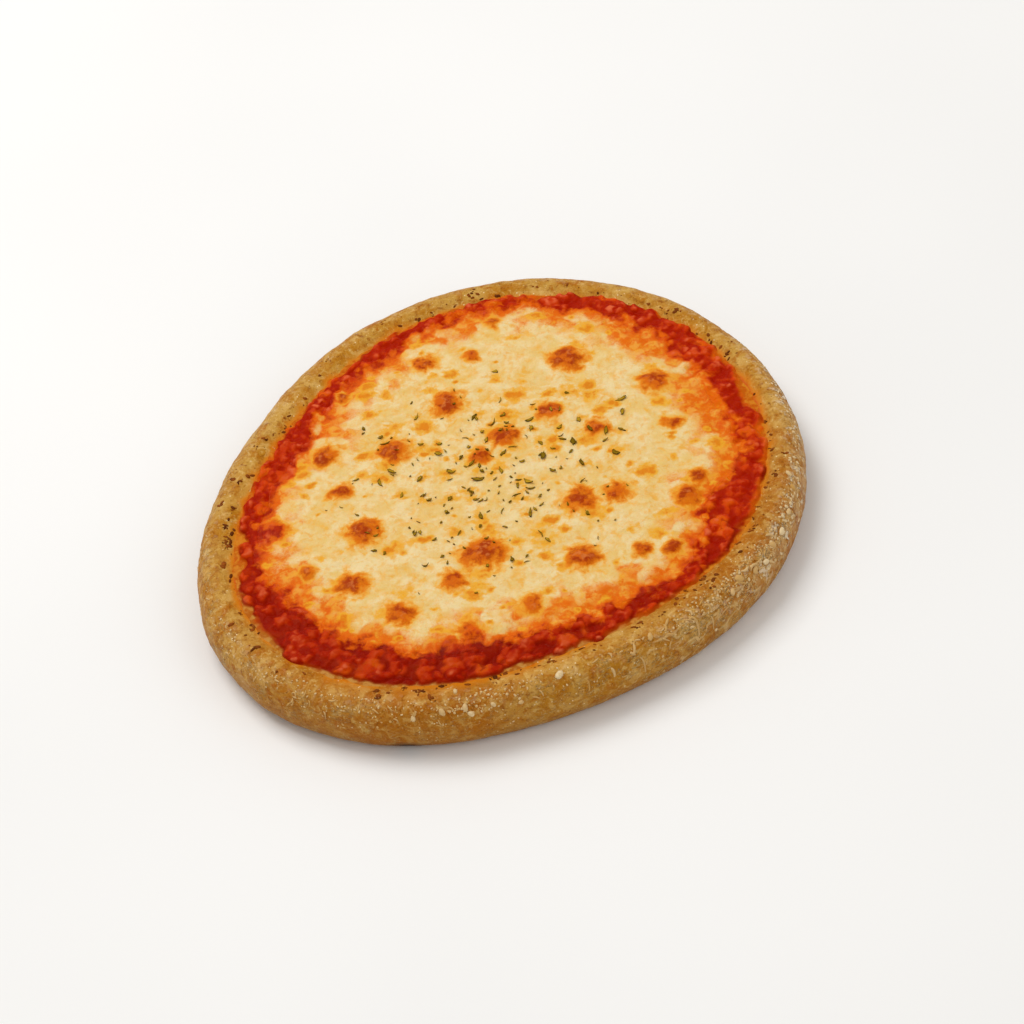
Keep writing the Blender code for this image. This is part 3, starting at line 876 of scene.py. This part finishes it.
def squiggle(crust, direction, share, rng, size, curls):
    """A thin wrinkle of dried skin that curls along the rim: points and faces, or None."""
    step = size * rng.uniform(*SQUIGGLE_LENGTHS) / SQUIGGLE_STEPS
    heading = rng.gauss(0, 0.45)
    curl = rng.choice(curls) * rng.uniform(-1, 1)
    spots, ups = [], []
    for _ in range(SQUIGGLE_STEPS):
        pose = rim_pose(crust, direction, share)
        if pose is None:
            return None
        spots.append(pose.translation)
        ups.append(pose.col[2].xyz)
        direction += math.degrees(step * math.cos(heading) / DOUGH_RADIUS)
        share = min(max(share + step * math.sin(heading) / RIM_WIDTH, 0.01), 0.9)
        heading += curl
    points = [spots[0]]
    for i, (spot, up) in enumerate(zip(spots, ups)):
        along = spots[min(i + 1, SQUIGGLE_STEPS - 1)] - spots[max(i - 1, 0)]
        across = along.cross(up).normalized()
        half = size * SQUIGGLE_HALF_WIDTH * math.sin(math.pi * (i + 0.6) / (SQUIGGLE_STEPS + 0.2)) ** 0.6
        for side in range(SQUIGGLE_SIDES):
            turn = TURN * side / SQUIGGLE_SIDES
            points.append(spot + half * (across * math.cos(turn) - up * math.sin(turn)))
    points.append(spots[-1])
    return points, capped_faces(SQUIGGLE_SIDES, SQUIGGLE_STEPS)


def add_squiggles(grains, crust):
    """Pale thin wrinkles, most of them on the flank toward the viewer's right."""
    rng = random.Random(SQUIGGLE_SEED)
    for _ in range(SQUIGGLE_COUNT):
        patch = rng.choice(SQUIGGLE_PATCHES)
        share = drawn_share(rng, SQUIGGLE_SHARES)
        made = squiggle(crust, rng.gauss(*patch), share, rng, 1.0, SQUIGGLE_TURNS)
        if made is not None:
            grains.add(*made, rng.uniform(0.0, 0.35))
    for _ in range(CURL_COUNT):
        share = rng.uniform(*CURL_SHARES)
        made = squiggle(crust, rng.gauss(*CURL_PATCH), share, rng, CURL_SIZE, CURL_TURNS)
        if made is not None:
            grains.add(*made, rng.uniform(0.1, 0.5))


def drawn_share(rng, shares):
    """A share of the rim's width, drawn about a middle and kept on the rim."""
    middle, spread, most = shares
    return min(max(rng.gauss(middle, spread), 0.02), most)


def crumb_places(rng):
    """Crumbs, flour lumps and chains of fine crumbs, the chains partly painted glints along the crest.

    Each has its direction, share of the rim's width, half length, flatness and tone.
    """
    crumbs = []
    for _ in range(CRUMB_COUNT):
        patch = rng.choice(CRUMB_PATCHES)
        share = drawn_share(rng, CRUMB_SHARES)
        direction = rng.gauss(*patch)
        crumbs.append((direction, share, rng.uniform(*CRUMB_HALVES), 0.3, 0.7 * rng.random()))
    for _ in range(FLOUR_LUMP_COUNT):
        patch = rng.choice(FLOUR_PATCHES)
        share = drawn_share(rng, FLOUR_SHARES)
        half = rng.uniform(*FLOUR_HALVES)
        crumbs.append((rng.gauss(*patch), share, half, 0.2, rng.uniform(0.4, 0.9)))
    # Chains of fine pale crumbs, partly standing in for painted glints along the rim's crest.
    for _ in range(CRUMB_AND_GLINT_CHAIN_COUNT):
        direction = rng.choice(CHAIN_DIRECTIONS) + rng.uniform(-5, 5)
        share = rng.uniform(*CHAIN_SHARES)
        for _ in range(rng.randrange(5, 14)):
            crumbs.append((direction, share, rng.uniform(*CHAIN_HALVES), 0.3, rng.uniform(0.1, 0.7)))
            direction += rng.uniform(0.5, 1.6)
            share = min(max(share + rng.uniform(-0.06, 0.06), 0.02), 0.7)
    return crumbs


def make_specks(crust):
    """Dark specks of herb and pepper on the rim beside the sauce."""
    specks = Scatter()
    rng = random.Random(SPECK_SEED)
    for _ in range(SPECK_COUNT):
        direction = rng.gauss(*rng.choice(SPECK_PATCHES))
        share = 1 - min(abs(rng.gauss(0, 0.2)) + 0.1, 0.6)
        for _ in range(rng.choice((1, 1, 2, 4))):
            pose = rim_pose(crust, direction + rng.uniform(-0.6, 0.6), share + rng.uniform(-0.07, 0.07))
            if pose is None:
                continue
            pose = pose @ spin(rng)
            half = rng.choice(SPECK_HALVES) * (1 + float(humps(math.radians(direction), SPECK_SWELLS)))
            sizes = (half, half * rng.uniform(0.35, 0.8), min(half * 0.35, SPECK_HALF_THICKNESS))
            specks.add(*pebble(pose, sizes, rng), rng.random())
    return specks.build("dark_specks", speck_material())


def tint(red, green, blue):
    """A linear colour from its eight-bit screen values."""
    linear = []
    for value in (red, green, blue):
        share = value / 255
        linear.append(share / 12.92 if share <= 0.04045 else ((share + 0.055) / 1.055) ** 2.4)
    return (*linear, 1)


class Shading:
    """A Principled material and short calls for the nodes that feed it."""

    def __init__(self, name, gloss, gloss_tint=WARM_GLOSS, **settings):
        """Settings are other inputs of the shader, with underscores in their names for spaces."""
        self.material = bpy.data.materials.new(name)
        self.material.use_nodes = True
        self.tree = self.material.node_tree
        self.shader = self.tree.nodes["Principled BSDF"]
        settings |= {"Specular_IOR_Level": gloss, "Specular_Tint": gloss_tint}
        for key, value in settings.items():
            self.shader.inputs[key.replace("_", " ")].default_value = value
        self.place = self.tree.nodes.new("ShaderNodeTexCoord").outputs["Object"]

    def link(self, value, socket):
        """Feeds a socket with another, a number, or an eight-bit red, green and blue."""
        if isinstance(value, bpy.types.NodeSocket):
            self.tree.links.new(value, socket)
        else:
            socket.default_value = tint(*value) if isinstance(value, tuple) else value

    def node(self, kind, output, inputs, **settings):
        """The output of a new node with these settings and inputs."""
        made = self.tree.nodes.new(kind)
        for key, value in settings.items():
            setattr(made, key, value)
        for key, value in inputs.items():
            self.link(value, made.inputs[key])
        return made.outputs[output]

    def read(self, name, output="Fac"):
        return self.node("ShaderNodeAttribute", output, {}, attribute_name=name)

    def noise(self, size, detail=3, roughness=0.5, distortion=0.0, place=None):
        """Soft noise with its size in millimetres."""
        inputs = {"Vector": place or self.place, "Scale": 1 / (size * MM)}
        inputs |= {"Detail": detail, "Roughness": roughness, "Distortion": distortion}
        return self.node("ShaderNodeTexNoise", "Fac", inputs)

    def cells(self, size):
        """The distance to the nearest of points that lie about size millimetres apart."""
        inputs = {"Vector": self.place, "Scale": 1 / (size * MM)}
        return self.node("ShaderNodeTexVoronoi", "Distance", inputs)

    def maths(self, operation, *values):
        """A calculation whose result is kept between 0 and 1."""
        inputs = dict(enumerate(values))
        return self.node("ShaderNodeMath", "Value", inputs, operation=operation, use_clamp=True)

    def times(self, first, second):
        return self.maths("MULTIPLY", first, second)

    def frayed(self, value, fray, less, more, low=0.3, high=0.7):
        """The value and some noise, which adds from less to more while it goes from low to high."""
        return self.maths("MULTIPLY_ADD", self.span(fray, low, high, less, more), 1.0, value)

    def span(self, value, low, high, to_low=0.0, to_high=1.0):
        """Eases from one number to another while value goes from low to high."""
        inputs = {"Value": value, "From Min": low, "From Max": high, "To Min": to_low, "To Max": to_high}
        return self.node("ShaderNodeMapRange", "Result", inputs, interpolation_type="SMOOTHSTEP")

    def mix(self, share, first, second):
        inputs = {"Factor": share, "A": first, "B": second}
        return self.node("ShaderNodeMix", "Result", inputs, data_type="RGBA")

    def cover(self, under, over, value, low, high, most=1.0):
        """Lays one colour over another while value goes from low to high."""
        return self.mix(self.span(value, low, high, 0, most), under, over)

    def bumps(self, *layers):
        """A normal with layers of fine relief, each with its source and its depth in millimetres."""
        normal = None
        for height, depth in layers:
            inputs = {"Height": height, "Distance": depth * MM}
            if normal is not None:
                inputs["Normal"] = normal
            normal = self.node("ShaderNodeBump", "Normal", inputs)
        return normal

    def finish(self, colour, roughness=None, normal=None):
        for key, value in (("Base Color", colour), ("Roughness", roughness), ("Normal", normal)):
            if value is not None:
                self.link(value, self.shader.inputs[key])
        return self.material


def crust_material():
    """Golden brown dough with streaks, grit, oil beside the sauce, flour, pale fine lines that are
    partly painted sheen, painted glints, and painted shade low on the wall.
    """
    m = Shading("baked_dough", 0.14)
    broad = m.noise(11, 3, 0.55, 0.5)
    patch = m.noise(4.5, 4, 0.6, 1.2)
    mottle = m.noise(1.6, 4, 0.65, 0.6)
    grit = m.noise(0.45, 2, 0.6)
    flow = m.read("flow", "Vector")
    streak = m.noise(3.5, 4, 0.6, 0.8, flow)
    colour = m.cover((192, 144, 60), (180, 120, 24), broad, 0.4, 0.6)
    amber = m.times(m.span(patch, 0.5, 0.62), m.span(m.read("gold"), 0, 1, 0.4, 1))
    colour = m.mix(amber, colour, (170, 98, 0))
    colour = m.cover(colour, (208, 164, 88), patch, 0.47, 0.36, 0.7)
    baked = m.times(m.read("baked"), m.span(patch, 0.3, 0.6, 0.3, 0.8))
    colour = m.mix(baked, colour, (166, 92, 2))
    colour = m.cover(colour, (150, 84, 4), streak, 0.54, 0.7, 0.35)
    colour = m.cover(colour, (212, 168, 94), streak, 0.44, 0.3, 0.35)
    colour = m.cover(colour, (134, 68, 0), mottle, 0.53, 0.7, 0.7)
    colour = m.cover(colour, (216, 176, 100), mottle, 0.46, 0.3, 0.65)
    # Painted shade, darker toward the foot of the wall.
    colour = m.mix(m.times(m.read("wall"), 0.55), colour, (140, 86, 8))
    colour = m.cover(colour, (118, 66, 8), grit, 0.55, 0.8, 0.5)
    colour = m.cover(colour, (228, 192, 128), grit, 0.42, 0.2, 0.5)
    oil = m.times(m.read("oil"), m.span(mottle, 0.25, 0.6, 0.7, 1.0))
    colour = m.cover(colour, (204, 120, 16), oil, 0.05, 0.5)
    colour = m.cover(colour, (196, 74, 0), oil, 0.4, 0.9)
    crumbs = m.span(m.noise(1.5, 2, 0.5, 0.4), 0.54, 0.61)
    clump = m.times(crumbs, m.span(m.noise(3.5, 3, 0.6), 0.4, 0.52))
    clump = m.times(clump, m.read("flour"))
    haze = m.times(m.read("flour"), m.span(mottle, 0.6, 0.4, 0, 0.42))
    colour = m.mix(haze, colour, (208, 172, 122))
    colour = m.mix(clump, colour, (224, 202, 170))
    # Pale fine lines along the rim and on the wrinkles' ridges: partly paler dried skin, partly painted
    # sheen.
    ripple = m.noise(2.6, 3, 0.5, 1.2, flow)
    line = m.maths("MINIMUM", m.span(ripple, 0.475, 0.495), m.span(ripple, 0.525, 0.505))
    some = m.times(m.span(m.noise(4, 2), 0.46, 0.6), m.read("creased"))
    pale_line = m.maths("MAXIMUM", m.times(line, some), m.span(m.read("crease"), 0.5, 1.0, 0, 0.5))
    colour = m.mix(pale_line, colour, (222, 190, 132))
    # Painted glints: small pale dots that stand in for specular glints on the crust.
    painted_glint = m.times(m.span(m.cells(1.2), 0.17, 0.08), m.span(patch, 0.5, 0.42))
    colour = m.mix(painted_glint, colour, (234, 210, 162))
    colour = m.cover(colour, (104, 50, 8), m.cells(1.55), 0.14, 0.06, 0.7)
    colour = m.mix(m.read("burnt"), colour, (30, 16, 6))
    roughness = m.span(m.read("oil"), 0.0, 0.8, 0.48, 0.3)
    normal = m.bumps((patch, 0.3), (mottle, 0.3), (grit, 0.12), (clump, 0.3), (pale_line, 0.18))
    return m.finish(colour, roughness, normal)


def sauce_colour(m):
    """Red lumps of tomato pulp, some orange, with painted highlights on their tops and painted shade
    between them; painted shadow darkens the front and the foot of the torn edge.
    """
    tone, bit, lump, front = m.read("tone"), m.read("bit"), m.read("lump"), m.read("front")
    colour = m.cover((170, 28, 0), (198, 56, 2), tone, 0.25, 0.6)
    colour = m.cover(colour, (216, 90, 8), tone, 0.64, 0.8, 0.85)
    colour = m.cover(colour, (210, 74, 6), m.noise(1.4, 4, 0.6, 0.4), 0.5, 0.72, 0.6)
    # Painted light: the small lumps' tops are lighter, and the larger lumps' tops get pinkish painted
    # highlights.
    colour = m.cover(colour, (206, 62, 10), bit, 0.35, 0.95, 0.55)
    painted_highlight = m.times(m.span(lump, 0.45, 0.95), m.span(bit, 0.5, 1.0))
    painted_highlight = m.times(painted_highlight, m.span(m.noise(4, 3), 0.4, 0.58, 0.2, 1.0))
    colour = m.mix(painted_highlight, colour, (222, 106, 64))
    # Painted shade: darker red low between the lumps, darker still at the front.
    painted_shade = m.mix(front, (158, 20, 0), (118, 6, 0))
    colour = m.cover(colour, painted_shade, bit, 0.45, 0.05, 0.6)
    colour = m.cover(colour, painted_shade, lump, 0.55, 0.1, 0.8)
    # Painted shadow of the near rim over the front of the sauce.
    colour = m.mix(m.times(front, 0.32), colour, (132, 12, 0))
    # The torn edge on the rim: orange oil in patches, elsewhere dark red painted shadow at the foot of
    # the sauce's lip, all along the front.
    orange = m.maths("SUBTRACT", m.span(m.noise(7, 2), 0.36, 0.54), front)
    edge = m.mix(orange, (136, 22, 0), (216, 98, 8))
    return m.cover(colour, edge, m.read("rind"), 0.25, 0.9, 0.8)


def cheese_colour(m):
    """Cream cheese with fine shreds, orange toward the sauce, and browned blisters with painted
    highlights in their cores.
    """
    cloud = m.noise(5, 5, 0.65, 0.3)
    fibre = m.noise(1.1, 4, 0.6, 1.5)
    spots = m.noise(3.0, 4, 0.6, 0.6)
    colour = m.cover((226, 188, 112), (231, 206, 152), cloud, 0.36, 0.64)
    colour = m.cover(colour, (229, 178, 84), m.read("shred"), 0.45, 0.12, 0.5)
    colour = m.cover(colour, (222, 168, 66), fibre, 0.54, 0.72, 0.4)
    colour = m.cover(colour, (228, 160, 36), spots, 0.56, 0.72, 0.7)
    warm = m.frayed(m.read("warm"), fibre, -0.07, 0.07)
    colour = m.cover(colour, (230, 146, 42), warm, 0.1, 0.8, 0.92)
    crack, between = m.span(m.read("crack"), 0.2, 1.0, 0, 0.6), m.span(m.read("lump"), 0.5, 0.15)
    crevice = m.times(m.maths("MAXIMUM", crack, between), m.span(warm, 0.3, 0.85))
    colour = m.mix(crevice, colour, (222, 106, 8))
    warm_spots = m.times(m.span(warm, 0.3, 0.8), m.span(spots, 0.45, 0.58))
    colour = m.mix(warm_spots, colour, (222, 104, 8))
    fleck = m.frayed(m.read("fleck"), m.noise(1.7, 4, 0.6), -0.2, 0.26)
    colour = m.cover(colour, (230, 164, 40), fleck, 0.08, 0.45, 0.9)
    colour = m.cover(colour, (216, 120, 10), fleck, 0.42, 0.8, 0.85)
    char = m.frayed(m.read("char"), m.noise(2.7, 5, 0.6, 0.3), -0.24, 0.24, 0.28, 0.72)
    colour = m.cover(colour, (233, 166, 52), char, 0.03, 0.34, 0.85)
    colour = m.cover(colour, (221, 120, 12), char, 0.2, 0.55)
    brown = m.cover((206, 96, 6), (164, 54, 0), m.noise(2.4, 3, 0.55), 0.42, 0.56)
    colour = m.cover(colour, brown, char, 0.42, 0.84)
    # Painted highlights: lighter patches in the blisters' browned cores.
    inner = m.times(m.span(char, 0.7, 0.95), m.span(m.noise(1.6, 3), 0.5, 0.38, 0, 0.6))
    return m.mix(inner, colour, (214, 122, 58))


def topping_colour(m):
    """Cheese and sauce colours, which run into each other through orange."""
    fine = m.noise(1.8, 3, 0.6, 0.6)
    red = m.frayed(m.read("red"), fine, -0.09, 0.09)
    colour = m.cover(cheese_colour(m), (219, 94, 6), red, 0.22, 0.48)
    colour = m.cover(colour, sauce_colour(m), red, 0.4, 0.68)
    oily = m.cover((204, 122, 28), (186, 88, 8), fine, 0.4, 0.6)
    dry = m.cover((188, 132, 62), (166, 92, 22), fine, 0.4, 0.6)
    return m.mix(m.read("bare"), colour, m.cover(oily, dry, m.read("front"), 0.2, 0.7))


def sauce_material():
    """Glossy and a little see-through."""
    inner = {"Subsurface_Weight": 0.12, "Subsurface_Scale": 1.2 * MM}
    inner["Subsurface_Radius"] = (1.0, 0.25, 0.1)
    m = Shading("baked_tomato_sauce", 0.05, OILY_GLOSS, **inner)
    pulp = m.noise(1.4, 4, 0.6, 0.4)
    normal = m.bumps((pulp, 0.25), (m.noise(0.6, 2), 0.08))
    return m.finish(topping_colour(m), m.span(pulp, 0.3, 0.7, 0.24, 0.4), normal)


def cheese_material():
    """Greasy and a little see-through, glossier toward the sauce."""
    inner = {"Subsurface_Weight": 0.18, "Subsurface_Scale": 1.5 * MM}
    inner["Subsurface_Radius"] = (1.0, 0.6, 0.25)
    m = Shading("melted_cheese", 0.08, **inner)
    normal = m.bumps((m.noise(1.1, 4, 0.6, 1.5), 0.2), (m.noise(0.5, 2), 0.06))
    return m.finish(topping_colour(m), m.span(m.read("red"), 0.3, 0.6, 0.44, 0.32), normal)


def herb_material():
    """Dull green, darker round the edges."""
    m = Shading("dried_herb", 0.05)
    green = m.mix(m.read("tone"), (114, 88, 8), (184, 142, 30))
    colour = m.cover(green, (46, 28, 0), m.read("rim"), 0.3, 0.9, 0.95)
    colour = m.cover(colour, (66, 46, 2), m.noise(0.5, 3, 0.6), 0.5, 0.68, 0.6)
    return m.finish(colour, 0.6, m.bumps((m.noise(0.3, 2), 0.05)))


def grain_material():
    """Cream, from tan to nearly white."""
    m = Shading("semolina", 0.2)
    colour = m.mix(m.read("tone"), (196, 148, 76), (228, 204, 160))
    colour = m.cover(colour, (192, 148, 82), m.noise(0.6, 3, 0.6), 0.45, 0.7, 0.4)
    return m.finish(colour, 0.45, m.bumps((m.noise(0.4, 2), 0.05)))


def speck_material():
    """Dark reddish brown."""
    m = Shading("dark_speck", 0.12)
    colour = m.mix(m.read("tone"), (84, 34, 2), (150, 76, 16))
    colour = m.cover(colour, (84, 40, 6), m.noise(0.3, 3, 0.6), 0.45, 0.7, 0.5)
    return m.finish(colour, 0.6, m.bumps((m.noise(0.3, 2), 0.05)))


def add_camera():
    """A long lens that looks down at the pizza, rolled as in the photograph."""
    up = Vector((0, math.sin(CAMERA_ELEVATION), math.cos(CAMERA_ELEVATION)))
    back = Vector((0, -math.cos(CAMERA_ELEVATION), math.sin(CAMERA_ELEVATION)))
    right = Vector((1, 0, 0))
    image_right = right * math.cos(CAMERA_ROLL) + up * math.sin(CAMERA_ROLL)
    image_up = up * math.cos(CAMERA_ROLL) - right * math.sin(CAMERA_ROLL)
    data = bpy.data.cameras.new("camera")
    data.lens = CAMERA_LENS
    data.sensor_width = 36
    data.clip_start = 0.01
    camera = bpy.data.objects.new("camera", data)
    bpy.context.scene.collection.objects.link(camera)
    turned = Matrix((image_right, image_up, back)).transposed().to_4x4()
    camera.matrix_world = Matrix.Translation(CAMERA_AIM + back * CAMERA_DISTANCE) @ turned
    bpy.context.scene.camera = camera


def add_light(name, place, size, watts):
    """A square lamp that faces the pizza."""
    data = bpy.data.lights.new(name, "AREA")
    data.shape = "SQUARE"
    data.size = size
    data.energy = watts
    light = bpy.data.objects.new(name, data)
    light.location = place
    light.rotation_euler = (-Vector(place)).to_track_quat("-Z", "Y").to_euler()
    bpy.context.scene.collection.objects.link(light)


def add_set():
    """A pale floor under a pale sky, with a large soft lamp and a weaker one."""
    half = FLOOR_HALF_WIDTH
    corners = np.array(((-half, -half, 0), (half, -half, 0), (half, half, 0), (-half, half, 0)))
    floor = mesh_object("floor", corners, [(0, 1, 2, 3)], {})
    m = Shading("pale_floor", 0.2, WHITE, Roughness=0.8)
    shade = m.cover((238, 237, 235), (242, 241, 239), m.noise(200, 2), 0.3, 0.7)
    floor.data.materials.append(m.finish(shade))
    world = bpy.data.worlds.new("studio")
    world.use_nodes = True
    sky = world.node_tree.nodes["Background"]
    sky.inputs["Color"].default_value = SKY_COLOUR
    sky.inputs["Strength"].default_value = SKY_STRENGTH
    bpy.context.scene.world = world
    for lamp in LAMPS:
        add_light(*lamp)
    bpy.context.scene.view_settings.view_transform = "Standard"


def main():
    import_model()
    add_camera()
    add_set()
    crust = make_crust()
    sauce = make_sauce()
    cheese = make_cheese()
    bpy.context.view_layer.update()
    herbs = make_herbs(cheese)
    grains = make_grains(crust)
    specks = make_specks(crust)
    for piece, node in (
        (crust, "crust"),
        (sauce, "sauce"),
        (cheese, "cheese"),
        (herbs, "cheese"),
        (grains, "crust"),
        (specks, "crust"),
    ):
        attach(piece, "root")
        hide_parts(node)


main()
